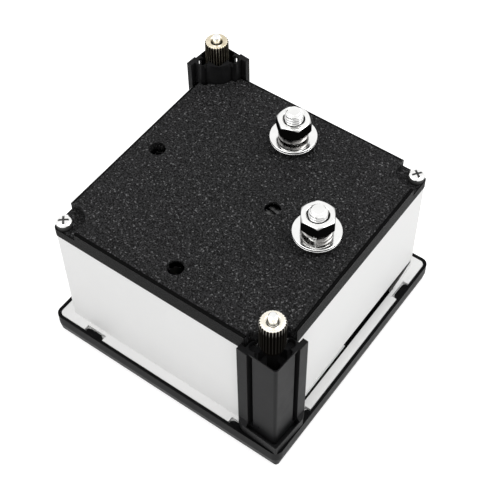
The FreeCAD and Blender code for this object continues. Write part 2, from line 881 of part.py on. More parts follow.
def place_clamp(clamp, sx, shift, twist, front):
    """Puts a bracket on its stud, turned by the play that the loose bracket has."""
    turn = twist if sx > 0 else twist + 180.0
    return placed(clamp, sx * clamp_stud_x + shift[0], -sx * clamp_stud_y + shift[1], front, turn)


def make_corner_shield():
    """Black plate behind the pane that hides the movement, rounded about its axis."""
    edge = window_half + shield_overlap
    low = pivot_offset - shield_reach
    middle = pivot_offset - shield_reach / math.sqrt(2)
    z = pane_back
    bend = Part.Arc(V(pivot_offset, low, z), V(middle, middle, z), V(low, pivot_offset, z)).toShape()
    edges = [
        Part.makeLine(V(edge, low, z), V(pivot_offset, low, z)),
        bend,
        Part.makeLine(V(low, pivot_offset, z), V(low, edge, z)),
        Part.makeLine(V(low, edge, z), V(edge, edge, z)),
        Part.makeLine(V(edge, edge, z), V(edge, low, z)),
    ]
    plate = Part.Face(Part.Wire(edges)).extrude(V(0, 0, shield_thickness))
    rear = z + shield_thickness + over
    trim = square_block(edge, window_radius, z - over, rear)
    hole = cylinder(adjuster_flange_radius + 3 * slip, z - over, rear, adjuster_x, adjuster_x)
    return plate.common(trim).cut(hole)


def make_dial_plate():
    """Scale plate on the deck, cut out round the movement and at the clamp corners."""
    half = dial_half
    plate = square_block(half, window_radius, dial_front, deck_front)
    inside = pivot_offset + dial_corner_reach
    cuts = [
        cylinder(dial_opening, 0, case_rear, pivot_offset, pivot_offset),
        box(inside, half + over, inside, half + over, 0, case_rear),
    ]
    for sx in (1, -1):
        cuts.append(clamp_room(sx, case_wall + 4 * pane_clearance, 0, case_rear))
    for x, y in dial_screw_spots():
        cuts.append(cylinder(dial_screw_radius + slip, 0, case_rear, x, y))
    plate = plate.cut(cuts)
    pins = []
    for angle in (pointer_rest - stop_margin, pointer_rest + pointer_sweep + stop_margin):
        x = pivot_offset + stop_radius * math.cos(math.radians(angle))
        y = pivot_offset + stop_radius * math.sin(math.radians(angle))
        pins.append(cylinder(stop_pin_radius, dial_front - stop_pin_height, deck_front, x, y))
    return joined(plate, *pins)


def dial_screw_spots():
    """Axes of the three screws of the scale plate."""
    edge = dial_half - dial_screw_edge
    far = dial_screw_corner - dial_half
    return ((far, far), (-dial_screw_side, edge), (edge, -dial_screw_side))


def make_dial_screw(x, y):
    """Small slotted screw that holds the scale plate on the deck."""
    head_front = dial_front - dial_screw_head_height
    head = cylinder(dial_screw_head, head_front, dial_front)
    shank = cylinder(dial_screw_radius, dial_front, deck_rear)
    half = small_slot_width / 2
    slot = box(-over - dial_screw_head, dial_screw_head + over, -half, half, 0, head_front + small_slot_depth)
    return placed(joined(head, shank).cut(slot), x, y, turn=dial_screw_turn)


def make_pointer():
    """Needle with hub, short cross arms and a balanced tail."""
    rear = pointer_front + pointer_thickness
    root = pointer_root_width / 2
    tip = pointer_tip_width / 2
    blade = ((0, -root), (pointer_length, -tip), (pointer_length, tip), (0, root))
    needle = prism(blade, pointer_front, rear)
    tail = box(-tail_length, 0, -tip, tip, pointer_front, rear)
    arms = box(-tip, tip, -cross_arm_length, cross_arm_length, pointer_front, rear)
    middle = (pointer_front + rear) / 2
    hub = cylinder(pointer_hub_radius, middle - pointer_hub_height / 2, middle + pointer_hub_height / 2)
    weight = cylinder(tail_weight_radius, middle - tail_weight_height / 2, middle + tail_weight_height / 2,
                      -tail_length)
    hole = cylinder(staff_radius + seat, 0, deck_rear)
    return at_pivot(joined(needle, tail, arms, hub, weight).cut(hole), pointer_rest)


def make_coil_former():
    """Aluminium frame of the moving coil with its two pivoted staffs."""
    half = former_width / 2
    frame = box(-coil_outer, coil_outer, -half, half, former_front, former_rear)
    space = box(-coil_inner, coil_inner, -half - over, half + over, former_front + former_wall,
                former_rear - former_wall)
    point = staff_point
    front_tip = jewel_back - jewel_cup + pivot_play
    rear_tip = rear_jewel_front + jewel_cup - pivot_play
    front_staff = turned((
        (0, front_tip),
        (staff_radius, front_tip + point),
        (staff_radius, former_front + former_wall / 2),
        (0, former_front + former_wall / 2),
    ))
    rear_staff = turned((
        (0, rear_tip),
        (0, former_rear - former_wall / 2),
        (staff_radius, former_rear - former_wall / 2),
        (staff_radius, rear_tip - point),
    ))
    collets = (
        cylinder(collet_radius, spring_front, spring_front + spring_height),
        cylinder(collet_radius, rear_spring_front, rear_spring_front + spring_height),
        cylinder(collet_radius, winding_front, former_front + former_wall / 2),
        cylinder(collet_radius, former_rear - former_wall / 2, winding_rear),
    )
    return at_pivot(joined(frame.cut(space), front_staff, rear_staff, *collets), pointer_rest)


def make_coil_winding():
    """Copper winding laid on the outside of the former."""
    half = winding_width / 2
    coil = box(-winding_outer, winding_outer, -half, half, winding_front, winding_rear)
    space = box(-coil_outer, coil_outer, -half - over, half + over, former_front, former_rear)
    hole = cylinder(collet_radius + slip, 0, case_rear)
    return at_pivot(coil.cut([space, hole]), pointer_rest)


def spiral_spring(z):
    """Flat spiral of half-circle arcs about two centres half a pitch apart."""
    outer_edges = []
    inner_edges = []
    half = spring_wire / 2
    for index in range(spring_half_turns):
        centre = V(0 if index % 2 == 0 else spring_pitch / 2, 0, z)
        radius = spring_start + index * spring_pitch / 2
        start = 0 if index % 2 == 0 else 180
        outer_edges.append(Part.makeCircle(radius + half, centre, UP, start, start + 180))
        inner_edges.append(Part.makeCircle(radius - half, centre, UP, start, start + 180))
    first = Part.makeLine(V(spring_start - half, 0, z), V(spring_start + half, 0, z))
    last = Part.makeLine(V(-spring_end - half, 0, z), V(-spring_end + half, 0, z))
    wire = Part.Wire(Part.__sortEdges__(outer_edges + inner_edges + [first, last]))
    return Part.Face(wire).extrude(V(0, 0, spring_height))


def make_magnet_core():
    """Round magnet inside the coil."""
    return at_pivot(cylinder(core_radius, core_front, core_rear))


def make_yoke_ring():
    """Soft-iron ring round the coil."""
    return at_pivot(tube(ring_inner, ring_outer, holder_rear, ring_rear))


def sector(inner, outer, half_angle, z0, z1):
    """Piece of a ring about the +X direction."""
    reach = 3 * outer
    rise = reach * math.tan(math.radians(half_angle))
    wedge = prism(((0, 0), (reach, -rise), (reach, rise)), z0, z1)
    return tube(inner, outer, z0, z1).common(wedge)


def movement_screw_spots():
    """Axes of the screws that hold the movement to the deck."""
    reach = ear_screw_radius
    return ((pivot_offset - reach, pivot_offset), (pivot_offset, pivot_offset - reach))


def make_core_holder():
    """Die-cast holder: front ring with two ears, and two webs that carry the core."""
    ring = tube(ring_inner - slip, ring_outer, deck_rear, holder_rear)
    web_outer = ring_inner - slip / 2
    web = sector(core_radius + slip, web_outer, holder_web_angle, deck_rear, core_rear)
    link = sector(core_radius + slip, ring_inner + ring_wall / 2, holder_web_angle, deck_rear, holder_rear)
    half = holder_ear_width / 2
    ear = box(ring_inner + ring_wall / 2, ear_screw_radius, -half, half, deck_rear, holder_rear)
    ear = ear.fuse(cylinder(half, deck_rear, holder_rear, ear_screw_radius))
    ear = ear.cut(cylinder(movement_screw_radius + slip, 0, case_rear, ear_screw_radius))
    pieces = []
    for turn in (bridge_angle, bridge_angle + 180.0):
        pieces.append(placed(web, turn=turn))
        pieces.append(placed(link, turn=turn))
    for turn in (pointer_rest, pointer_rest + pointer_sweep):
        pieces.append(placed(ear, turn=turn))
    return at_pivot(joined(ring, *pieces))


def make_movement_screw(x, y):
    """Screw through one ear of the holder into the deck."""
    shank = cylinder(movement_screw_radius, deck_rear - movement_screw_bite, holder_rear)
    head = cylinder(movement_head_radius, holder_rear, holder_rear + movement_head_height)
    top = holder_rear + movement_head_height
    half = small_slot_width / 2
    slot = box(-over - movement_head_radius, movement_head_radius + over, -half, half,
               top - small_slot_depth, top + over)
    return placed(joined(shank, head).cut(slot), x, y)


def bridge_bar(z0, z1):
    """Bar with round ends across the movement, over both pillars."""
    half = bridge_width / 2
    end = pillar_reach + pillar_radius
    return rounded_block(-end, end, -half, half, half - slip, z0, z1)


def bridge_pillars(z0, z1):
    """Two pillars on the bridge's bar."""
    return [cylinder(pillar_radius, z0, z1, s * pillar_reach) for s in (-1, 1)]


def make_front_bridge():
    """Bridge that carries the front jewel screw; the zero lever turns on its boss."""
    bar = bridge_bar(front_bridge_front, front_bridge_rear)
    boss = cylinder(bridge_boss_radius, front_bridge_front - bridge_boss_height, front_bridge_rear)
    pillars = bridge_pillars(front_bridge_rear - bite, deck_rear)
    hole = cylinder(jewel_radius + seat, 0, deck_rear)
    return at_pivot(joined(bar, boss, *pillars).cut(hole), bridge_angle)


def make_rear_bridge():
    """Bridge that carries the rear jewel screw and holds the rear spring's outer end."""
    bar = bridge_bar(rear_bridge_front, rear_bridge_rear)
    pillars = bridge_pillars(ring_rear, rear_bridge_front + bite)
    half = spring_stud_width / 2
    arm = box(-half, half, 0, spring_stud_reach + half, rear_bridge_front, rear_bridge_rear)
    stud = box(-half, half, spring_stud_reach - half, spring_stud_reach + half, rear_spring_front,
               rear_bridge_rear)
    hole = cylinder(jewel_radius + seat, 0, case_rear)
    return at_pivot(joined(bar, arm, stud, *pillars).cut(hole), bridge_angle)


def make_jewel_screw(end, direction):
    """Bearing screw with a conical cup towards the staff and a slot at its outer end."""
    screw = cylinder(jewel_radius, -jewel_length, 0)
    cup = Part.makeCone(0, jewel_cup * jewel_cup_slope, jewel_cup, V(0, 0, -jewel_cup))
    half = small_slot_width / 2
    slot = box(-over - jewel_radius, jewel_radius + over, -half, half, -jewel_length - over,
               small_slot_depth - jewel_length)
    screw = screw.cut([cup, slot])
    if direction < 0:
        screw.rotate(V(0, 0, 0), V(1, 0, 0), 180)
    return at_pivot(screw, z=end)


def make_zero_lever():
    """Lever on the front bridge's boss: a fork for the adjuster's pin and a stud for the spring."""
    inner = bridge_boss_radius + slip
    outer = inner + lever_ring_wall
    half = lever_arm_width / 2
    pin = adjuster_reach + adjuster_throw
    end = pin + lever_fork_reach
    ring = tube(inner, outer, lever_front, lever_rear)
    arm = box(inner + lever_ring_wall / 2, end, -half, half, lever_front, lever_rear)
    gap = adjuster_pin_radius + lever_fork_gap
    fork = box(adjuster_reach - adjuster_pin_radius - lever_back_gap, end + over, -gap, gap,
               lever_front - over, lever_rear + over)
    stud_half = spring_stud_width / 2
    back = box(-spring_stud_reach - stud_half, -inner - lever_ring_wall / 2, -stud_half, stud_half,
               lever_front, lever_rear)
    stud = box(-spring_stud_reach - stud_half, -spring_stud_reach + stud_half, -stud_half, stud_half,
               lever_front, spring_front + spring_height)
    return at_pivot(joined(ring, arm, back, stud).cut(fork), zero_angle)


def make_zero_adjuster():
    """Slotted screw in the pane with a flange behind it and an eccentric pin."""
    top = lever_rear + lever_thickness / 2
    flange_front_z = pane_back + slip
    head = cylinder(adjuster_head_radius, adjuster_sink, flange_front_z)
    flange = cylinder(adjuster_flange_radius, flange_front_z, flange_front_z + adjuster_flange_height)
    pin = cylinder(adjuster_pin_radius, flange_front_z, top, adjuster_throw)
    half = adjuster_slot_width / 2
    slot = box(-adjuster_head_radius - over, adjuster_head_radius + over, -half, half, adjuster_sink - over,
               adjuster_sink + adjuster_slot_depth)
    return placed(joined(head, flange, pin).cut(slot), adjuster_x, adjuster_x, turn=zero_angle)


def main():
    """Builds and writes every node."""
    os.makedirs("parts", exist_ok=True)
    save("bezel", make_bezel())
    save("window", make_window())
    save("corner_shield", make_corner_shield())
    save("case", make_case())
    save("back_cover", make_back_cover())
    save("cover_screws", Part.makeCompound([make_cover_screw(s) for s in (-1, 1)]))
    spots = terminal_spots()
    save("terminal_studs", Part.makeCompound([make_terminal_stud(x, y) for x, y in spots]))
    washers = [washer for x, y in spots for washer in make_flat_washers(x, y)]
    save("terminal_washers", Part.makeCompound(washers))
    springs = [make_spring_washer(x, y, turn) for (x, y), turn in zip(spots, split_turns)]
    save("spring_washers", Part.makeCompound(springs))
    nuts = [make_terminal_nut(x, y, turn) for (x, y), turn in zip(spots, nut_turns)]
    save("terminal_nuts", Part.makeCompound(nuts))
    save("terminal_lugs", Part.makeCompound([make_lug(x, y) for x, y in spots]))
    save("trimmer_body", make_trimmer_body())
    save("trimmer_screw", make_trimmer_screw())
    save("clamp_studs", Part.makeCompound([make_clamp_stud(sx) for sx in (1, -1)]))
    clamp = make_clamp()
    save("clamp_near", place_clamp(clamp, 1, near_shift, near_twist, near_clamp_front))
    save("clamp_far", place_clamp(clamp, -1, far_shift, far_twist, far_clamp_front))
    save("thumb_nut_near", make_thumb_nut(1, near_nut_top))
    save("thumb_nut_far", make_thumb_nut(-1, far_nut_top))
    save("dial_plate", make_dial_plate())
    save("dial_screws", Part.makeCompound([make_dial_screw(x, y) for x, y in dial_screw_spots()]))
    save("pointer", make_pointer())
    save("coil_former", make_coil_former())
    save("coil_winding", make_coil_winding())
    save("hairspring_front", at_pivot(spiral_spring(spring_front), zero_angle))
    save("hairspring_rear", at_pivot(spiral_spring(rear_spring_front), zero_angle))
    save("magnet_core", make_magnet_core())
    save("yoke_ring", make_yoke_ring())
    save("core_holder", make_core_holder())
    save("movement_screws", Part.makeCompound([make_movement_screw(x, y) for x, y in movement_screw_spots()]))
    save("front_bridge", make_front_bridge())
    save("rear_bridge", make_rear_bridge())
    jewels = (make_jewel_screw(jewel_back, 1), make_jewel_screw(rear_jewel_front, -1))
    save("jewel_screws", Part.makeCompound(list(jewels)))
    save("zero_lever", make_zero_lever())
    save("zero_adjuster", make_zero_adjuster())


main()
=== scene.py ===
import math

import bpy
import numpy as np
from mathutils import Matrix, Vector


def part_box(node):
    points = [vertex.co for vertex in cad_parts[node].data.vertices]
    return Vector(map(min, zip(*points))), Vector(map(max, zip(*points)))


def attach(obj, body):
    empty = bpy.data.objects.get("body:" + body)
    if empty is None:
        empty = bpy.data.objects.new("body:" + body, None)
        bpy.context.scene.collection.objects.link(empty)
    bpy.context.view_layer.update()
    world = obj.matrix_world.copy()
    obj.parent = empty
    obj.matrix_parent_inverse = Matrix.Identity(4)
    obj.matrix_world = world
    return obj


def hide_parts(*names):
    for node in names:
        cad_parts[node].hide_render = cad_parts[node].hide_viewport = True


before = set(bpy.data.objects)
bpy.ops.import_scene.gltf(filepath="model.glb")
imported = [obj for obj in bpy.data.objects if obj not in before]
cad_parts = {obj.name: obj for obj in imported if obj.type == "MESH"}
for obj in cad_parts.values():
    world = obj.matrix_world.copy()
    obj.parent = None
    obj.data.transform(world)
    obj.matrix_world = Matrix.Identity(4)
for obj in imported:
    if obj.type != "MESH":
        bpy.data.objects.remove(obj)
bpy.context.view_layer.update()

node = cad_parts
mm = 0.001
scene = bpy.context.scene


# Camera
# A long lens looks down on the meter's rear from over the corner with the lowered clamp.
# Its place and turn come from the bezel, the body and the cover as the photograph shows them.
camera = bpy.data.objects.new("camera", bpy.data.cameras.new("camera"))
camera.data.sensor_width = 36.0
camera.data.lens = 83.11
camera.data.clip_start = 0.01
camera.data.clip_end = 20.0
right = Vector((0.810897, 0.585119, -0.009109))
upward = Vector((-0.463666, 0.651919, 0.600013))
backward = Vector((0.357017, -0.482325, 0.799939))
turn = Matrix((right, upward, backward)).transposed().to_4x4()
camera.matrix_world = Matrix.Translation((0.106973, -0.141897, 0.259919)) @ turn
scene.collection.objects.link(camera)
scene.camera = camera


# Studio
# A pale table under a white surround, with two broad soft lamps, one high on the right and one over the left.
# Table and surround look white to the camera and in reflections, and the table still takes the soft shadow.
scene.view_settings.view_transform = "Standard"


def arithmetic(tree, operation, *values):
    """Product, larger or absolute value of node outputs, as the operation says."""
    step = tree.nodes.new("ShaderNodeMath")
    step.operation = operation
    for socket, value in enumerate(values):
        tree.links.new(value, step.inputs[socket])
    return step.outputs[0]


def seen_or_mirrored(tree):
    """Factor of 1 for rays from the camera, off a gloss or through glass, and 0 for light on the object."""
    rays = tree.nodes.new("ShaderNodeLightPath").outputs
    seen = arithmetic(tree, "MAXIMUM", rays["Is Camera Ray"], rays["Is Glossy Ray"])
    return arithmetic(tree, "MAXIMUM", seen, rays["Is Transmission Ray"])


room_light = 0.64
surround = bpy.data.worlds.new("surround")
surround.use_nodes = True
tree = surround.node_tree
tree.nodes.clear()
dim = tree.nodes.new("ShaderNodeBackground")
dim.inputs["Color"].default_value = (1.0, 1.0, 1.0, 1.0)
dim.inputs["Strength"].default_value = room_light
bright = tree.nodes.new("ShaderNodeBackground")
bright.inputs["Color"].default_value = (1.0, 1.0, 1.0, 1.0)
bright.inputs["Strength"].default_value = 1.0
blend = tree.nodes.new("ShaderNodeMixShader")
out = tree.nodes.new("ShaderNodeOutputWorld")
tree.links.new(seen_or_mirrored(tree), blend.inputs[0])
tree.links.new(dim.outputs[0], blend.inputs[1])
tree.links.new(bright.outputs[0], blend.inputs[2])
tree.links.new(blend.outputs[0], out.inputs[0])
scene.world = surround

table_glow = 0.5
table_paint = bpy.data.materials.new("table_paint")
table_paint.use_nodes = True
tree = table_paint.node_tree
tree.nodes.clear()
matt = tree.nodes.new("ShaderNodeBsdfDiffuse")
matt.inputs["Color"].default_value = (0.82, 0.82, 0.82, 1.0)
lift = tree.nodes.new("ShaderNodeEmission")
lift.inputs["Color"].default_value = (1.0, 1.0, 1.0, 1.0)
level = tree.nodes.new("ShaderNodeMath")
level.operation = "MULTIPLY"
level.inputs[1].default_value = table_glow
tree.links.new(seen_or_mirrored(tree), level.inputs[0])
tree.links.new(level.outputs[0], lift.inputs["Strength"])
summed = tree.nodes.new("ShaderNodeAddShader")
out = tree.nodes.new("ShaderNodeOutputMaterial")
tree.links.new(matt.outputs[0], summed.inputs[0])
tree.links.new(lift.outputs[0], summed.inputs[1])
tree.links.new(summed.outputs[0], out.inputs["Surface"])

table_half = 3.0
table_mesh = bpy.data.meshes.new("table")
table_corners = [(x * table_half, y * table_half, 0) for x, y in ((-1, -1), (1, -1), (1, 1), (-1, 1))]
table_mesh.from_pydata(table_corners, [], [(0, 1, 2, 3)])
table_mesh.materials.append(table_paint)
table = bpy.data.objects.new("table", table_mesh)
scene.collection.objects.link(table)


def soft_lamp(name, place, size, power):
    """Square lamp that faces the middle of the meter."""
    lamp = bpy.data.lights.new(name, "AREA")
    lamp.shape = "SQUARE"
    lamp.size = size
    lamp.energy = power
    holder = bpy.data.objects.new(name, lamp)
    holder.location = place
    aim = Vector((0, 0, 0.025)) - Vector(place)
    holder.rotation_mode = "QUATERNION"
    holder.rotation_quaternion = aim.to_track_quat("-Z", "Y")
    scene.collection.objects.link(holder)


soft_lamp("key_lamp", (0.34, 0.26, 0.62), 0.45, 2.3)
soft_lamp("fill_lamp", (-0.20, -0.30, 0.62), 0.6, 2.0)


# Bezel, corner shield and zero adjuster
# Black injection-moulded plastic with a faint satin sheen; the edges are broken by the mould.
# The adjuster turns in the pane and is slotted for a screwdriver.
def put_nodes(name):
    """New material with its shader and output only."""
    paint = bpy.data.materials.new(name)
    paint.use_nodes = True
    tree = paint.node_tree
    tree.nodes.clear()
    shader = tree.nodes.new("ShaderNodeBsdfPrincipled")
    out = tree.nodes.new("ShaderNodeOutputMaterial")
    tree.links.new(shader.outputs[0], out.inputs["Surface"])
    return paint, tree, shader


def object_place(tree):
    """Object coordinates, in metres."""
    return tree.nodes.new("ShaderNodeTexCoord").outputs["Object"]


def cloud(tree, scale, detail=2.0, place=None):
    """Noise of the given cells to the metre."""
    noise = tree.nodes.new("ShaderNodeTexNoise")
    noise.inputs["Scale"].default_value = scale
    noise.inputs["Detail"].default_value = detail
    tree.links.new(place or object_place(tree), noise.inputs["Vector"])
    return noise.outputs[0]


def spread(tree, value, low, high, start=0.3, end=0.7):
    """Maps a value from start..end onto low..high, and holds it there beyond both ends."""
    reach = tree.nodes.new("ShaderNodeMapRange")
    reach.inputs["From Min"].default_value = start
    reach.inputs["From Max"].default_value = end
    reach.inputs["To Min"].default_value = low
    reach.inputs["To Max"].default_value = high
    tree.links.new(value, reach.inputs["Value"])
    return reach.outputs[0]


def shade(tree, value, dark, light, start=0.3, end=0.7):
    """Colour that goes from one tone to the other as the value goes from start to end."""
    ramp = tree.nodes.new("ShaderNodeValToRGB")
    ramp.color_ramp.elements[0].position = start
    ramp.color_ramp.elements[0].color = (*dark, 1.0)
    ramp.color_ramp.elements[1].position = end
    ramp.color_ramp.elements[1].color = (*light, 1.0)
    tree.links.new(value, ramp.inputs["Fac"])
    return ramp.outputs["Color"]


def give_way(tree, factor, colour, tone):
    """Colour that gives way to one plain tone as the factor nears 1."""
    blend = tree.nodes.new("ShaderNodeMix")
    blend.data_type = "RGBA"
    tree.links.new(factor, blend.inputs["Factor"])
    tree.links.new(colour, blend.inputs["A"])
    blend.inputs["B"].default_value = (*tone, 1.0)
    return blend.outputs["Result"]


def relief(tree, shader, value, depth, edge=0.0):
    """Bump of the given depth in metres over softly broken edges."""
    bump = tree.nodes.new("ShaderNodeBump")
    bump.inputs["Strength"].default_value = 1.0
    bump.inputs["Distance"].default_value = depth
    tree.links.new(value, bump.inputs["Height"])
    if edge > 0:
        bevel = tree.nodes.new("ShaderNodeBevel")
        bevel.samples = 4
        bevel.inputs["Radius"].default_value = edge
        tree.links.new(bevel.outputs[0], bump.inputs["Normal"])
    tree.links.new(bump.outputs[0], shader.inputs["Normal"])


mould_edge = 0.00015


def moulded(name, dark, light, rough, grain, depth, gloss=0.5, patch=160.0):
    """Moulded plastic: two close tones in soft patches, a fine grain and a slightly drifting roughness."""
    paint, tree, shader = put_nodes(name)
    patches = cloud(tree, patch, 3.0)
    tree.links.new(shade(tree, patches, dark, light), shader.inputs["Base Color"])
    tree.links.new(spread(tree, patches, rough - 0.04, rough + 0.05), shader.inputs["Roughness"])
    shader.inputs["Specular IOR Level"].default_value = gloss
    relief(tree, shader, cloud(tree, grain), depth, mould_edge)
    return paint


def dress(paint, *names):
    """Gives CAD nodes a finish."""
    for name in names:
        for slot in node[name].material_slots:
            slot.material = paint


bezel_plastic = moulded(
    "bezel_plastic", (0.003, 0.003, 0.0033), (0.006, 0.006, 0.0064),
    rough=0.36, grain=5200.0, depth=0.000008, gloss=0.036,
)
dress(bezel_plastic, "bezel", "corner_shield", "zero_adjuster")


# Case
# White moulded plastic with a soft sheen, a slow drift of tone and a very fine mould grain.
case_plastic = moulded(
    "case_plastic", (0.80, 0.80, 0.795), (0.82, 0.82, 0.815),
    rough=0.45, grain=3800.0, depth=0.000012, gloss=0.3, patch=90.0,
)
dress(case_plastic, "case")


# Back cover
# Black moulded cap with a coarse spark-eroded texture, with tiny light spots painted on its grains as
# highlights.
# Chamfer, border, wells and holes are smooth and made black by painted shade, and painted shade makes the
# skirt darker than the top.
cover_plastic, tree, shader = put_nodes("cover_plastic")
place = object_place(tree)
grain = cloud(tree, 2800.0, 1.5, place)
# Painted highlights: light spots in the colour stand for glints of grains that catch the light.
painted_glints = spread(tree, cloud(tree, 1900.0, 1.0, place), 0.0, 1.0, 0.62, 0.76)
grain_tones = shade(tree, grain, (0.003, 0.003, 0.003), (0.031, 0.031, 0.032), 0.38, 0.66)
with_painted_glints = give_way(tree, painted_glints, grain_tones, (0.13, 0.13, 0.132))
cover_rear = 44.9
cover_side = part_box("back_cover")[1].x / mm
border_width = 0.95
well_reach = 26.0


def mask_between(value, low, high, start, end):
    """Mask on the cover that goes from low to high between two places in millimetres."""
    return spread(tree, value, low, high, start * mm, end * mm)


xyz = tree.nodes.new("ShaderNodeSeparateXYZ")
tree.links.new(place, xyz.inputs[0])
along_x, along_y = (arithmetic(tree, "ABSOLUTE", xyz.outputs[axis]) for axis in (0, 1))
aside = arithmetic(tree, "MAXIMUM", along_x, along_y)
height = xyz.outputs[2]
border = mask_between(aside, 0.0, 1.0, cover_side - border_width, cover_side - border_width + 0.25)
above = mask_between(height, 0.0, 1.0, cover_rear - 0.5, cover_rear - 0.4)
inside = mask_between(aside, 1.0, 0.0, well_reach, well_reach + 0.2)
below = mask_between(height, 1.0, 0.0, cover_rear - 0.8, cover_rear - 0.4)
# Painted shade: the chamfer and border and the wells are darkened towards black in the colour.
chamfer = arithmetic(tree, "MULTIPLY", border, above)
wells = arithmetic(tree, "MULTIPLY", inside, below)
painted_shade_mask = arithmetic(tree, "MAXIMUM", chamfer, wells)
# Painted shade on the skirt, which makes the cover's sides darker than its top.
skirt = mask_between(aside, 0.0, 0.92, cover_side - 0.35, cover_side - 0.2)
darkened = give_way(tree, arithmetic(tree, "MAXIMUM", painted_shade_mask, skirt), with_painted_glints, (0.0, 0.0, 0.0))
tree.links.new(darkened, shader.inputs["Base Color"])
tree.links.new(spread(tree, painted_shade_mask, 0.5, 0.12, 0.0, 1.0), shader.inputs["Roughness"])
shader.inputs["Specular IOR Level"].default_value = 0.052
relief(tree, shader, grain, 0.0001, 0.0002)
dress(cover_plastic, "back_cover")


# Clamp brackets
# Black glass-filled plastic, smoother than the cover, with the matt bloom of a worn mould.
clamp_plastic = moulded(
    "clamp_plastic", (0.008, 0.008, 0.0085), (0.014, 0.014, 0.0145),
    rough=0.42, grain=3400.0, depth=0.00001, gloss=0.055, patch=260.0,
)
dress(clamp_plastic, "clamp_near", "clamp_far")


# Terminal studs
# Nickel-plated steel with a thread of 0.8 mm pitch, a blunt cone at the free end and a head under the cover.
# The thread is one helical surface whose radius follows a rounded saw along the height, with painted shade in
# the hollows of the thread.
terminals = ((21.5, 0.0), (0.0, 21.5))


def with_painted_shade(tree, shader, colour, shade_tone):
    """Painted shade: metal fades out to a dark, matt tone where the surface's own shade attribute goes from 0
    to 1.
    """
    own = tree.nodes.new("ShaderNodeAttribute")
    own.attribute_name = "painted_shade"
    tree.links.new(spread(tree, own.outputs["Fac"], 1.0, 0.0, 0.6, 0.95), shader.inputs["Metallic"])
    shader.inputs["Specular IOR Level"].default_value = 0.0
    return give_way(tree, own.outputs["Fac"], colour, shade_tone)


def metal(name, dark, light, rough_low, rough_high, scratch, depth, patch=420.0, edge=0.0, shade_tone=None):
    """Plated or bare metal: tone and roughness drift in patches, fine marks as bump."""
    paint, tree, shader = put_nodes(name)
    shader.inputs["Metallic"].default_value = 1.0
    patches = cloud(tree, patch, 3.0)
    colour = shade(tree, patches, dark, light)
    # Given a shade tone, the metal takes painted shade where the piece's own attribute asks for it.
    if shade_tone is not None:
        colour = with_painted_shade(tree, shader, colour, shade_tone)
    tree.links.new(colour, shader.inputs["Base Color"])
    tree.links.new(spread(tree, patches, rough_low, rough_high), shader.inputs["Roughness"])
    relief(tree, shader, cloud(tree, scratch, 3.0), depth, edge)
    return paint


def grid_faces(rows, columns, round_rows=False):
    """Quads of a grid of points whose columns close round, and whose rows do where asked."""
    last_row = rows if round_rows else rows - 1
    i, j = np.meshgrid(np.arange(last_row), np.arange(columns), indexing="ij")
    i, j = i.ravel(), j.ravel()
    down, along = (i + 1) % rows, (j + 1) % columns
    return np.stack([i * columns + j, i * columns + along, down * columns + along, down * columns + j], 1)


def make_piece(name, points, faces, body, paint, slot, stands_for=(), crease=35.0, painted_shade=None):
    """Mesh object from arrays of points in millimetres and of quads or triangles.

    The last argument, where given, holds for each point how much painted shade the metal takes there, from 0
    to 1.
    """
    mesh = bpy.data.meshes.new(name)
    mesh.from_pydata((np.asarray(points, float) * mm).tolist(), [], [list(f) for f in faces])
    mesh.polygons.foreach_set("use_smooth", np.ones(len(mesh.polygons), bool))
    mesh.set_sharp_from_angle(angle=math.radians(crease))
    mesh.materials.append(paint)
    # The attribute holds each point's painted shade.
    if painted_shade is not None:
        own = mesh.attributes.new("painted_shade", "FLOAT", "POINT")
        own.data.foreach_set("value", np.asarray(painted_shade, np.float32))
    mesh.update()
    piece = bpy.data.objects.new(name, mesh)
    scene.collection.objects.link(piece)
    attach(piece, body)
    if stands_for:
        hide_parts(*stands_for)


def gathered(parts):
    """Several point and face arrays as one."""
    points, faces, count = [], [], 0
    for part_points, part_faces in parts:
        points.append(np.asarray(part_points, float))
        faces += [tuple(int(k) + count for k in f) for f in part_faces]
        count += len(part_points)
    return np.concatenate(points), faces


def about_axis(x, y, radius, theta, height):
    """Grid of points from radius, angle and height about the upright axis at x, y, row by row."""
    across, along = x + radius * np.cos(theta), y + radius * np.sin(theta)
    return np.stack([across, along, height + 0 * theta], 2).reshape(-1, 3)


def turned_points(profile, columns, x, y, wobble):
    """Profile of radius and height carried round a vertical axis.

    wobble(radius, height, angle), where given, changes the radius at each point of the grid.
    """
    radius = np.repeat(profile[:, :1], columns, 1)
    height = np.repeat(profile[:, 1:], columns, 1)
    theta = np.repeat((np.arange(columns) * 2 * np.pi / columns)[None, :], len(profile), 0)
    if wobble is not None:
        radius = wobble(radius, height, theta)
    return about_axis(x, y, radius, theta, height)


def turned_surface(profile, columns, x, y, wobble):
    """Open profile carried round a vertical axis and closed by a fan of triangles at both ends."""
    points = turned_points(profile, columns, x, y, wobble)
    faces = [tuple(f) for f in grid_faces(len(profile), columns)]
    first, last = len(points), len(points) + 1
    points = np.concatenate([points, [[x, y, profile[0, 1]], [x, y, profile[-1, 1]]]])
    base = (len(profile) - 1) * columns
    for j in range(columns):
        faces.append((j, first, (j + 1) % columns))
        faces.append((base + j, base + (j + 1) % columns, last))
    return points, faces


def turned_ring(profile, columns, x, y, wobble=None):
    """Closed profile carried round a vertical axis."""
    points = turned_points(np.asarray(profile, float), columns, x, y, wobble)
    return points, [tuple(f) for f in grid_faces(len(profile), columns, round_rows=True)]


def softened(corners, radius, steps=4):
    """Closed or open polyline of (r, z) corners, each rounded by a short Bezier of the given reach."""
    corners = np.asarray(corners, float)
    result = [corners[0]]
    for before, corner, after in zip(corners[:-2], corners[1:-1], corners[2:]):
        reach_in = min(radius, np.linalg.norm(corner - before) * 0.45)
        reach_out = min(radius, np.linalg.norm(after - corner) * 0.45)
        start = corner + (before - corner) / np.linalg.norm(before - corner) * reach_in
        end = corner + (after - corner) / np.linalg.norm(after - corner) * reach_out
        for t in np.linspace(0, 1, steps + 1):
            result.append((1 - t) ** 2 * start + 2 * t * (1 - t) * corner + t ** 2 * end)
    result.append(corners[-1])
    return np.array(result)


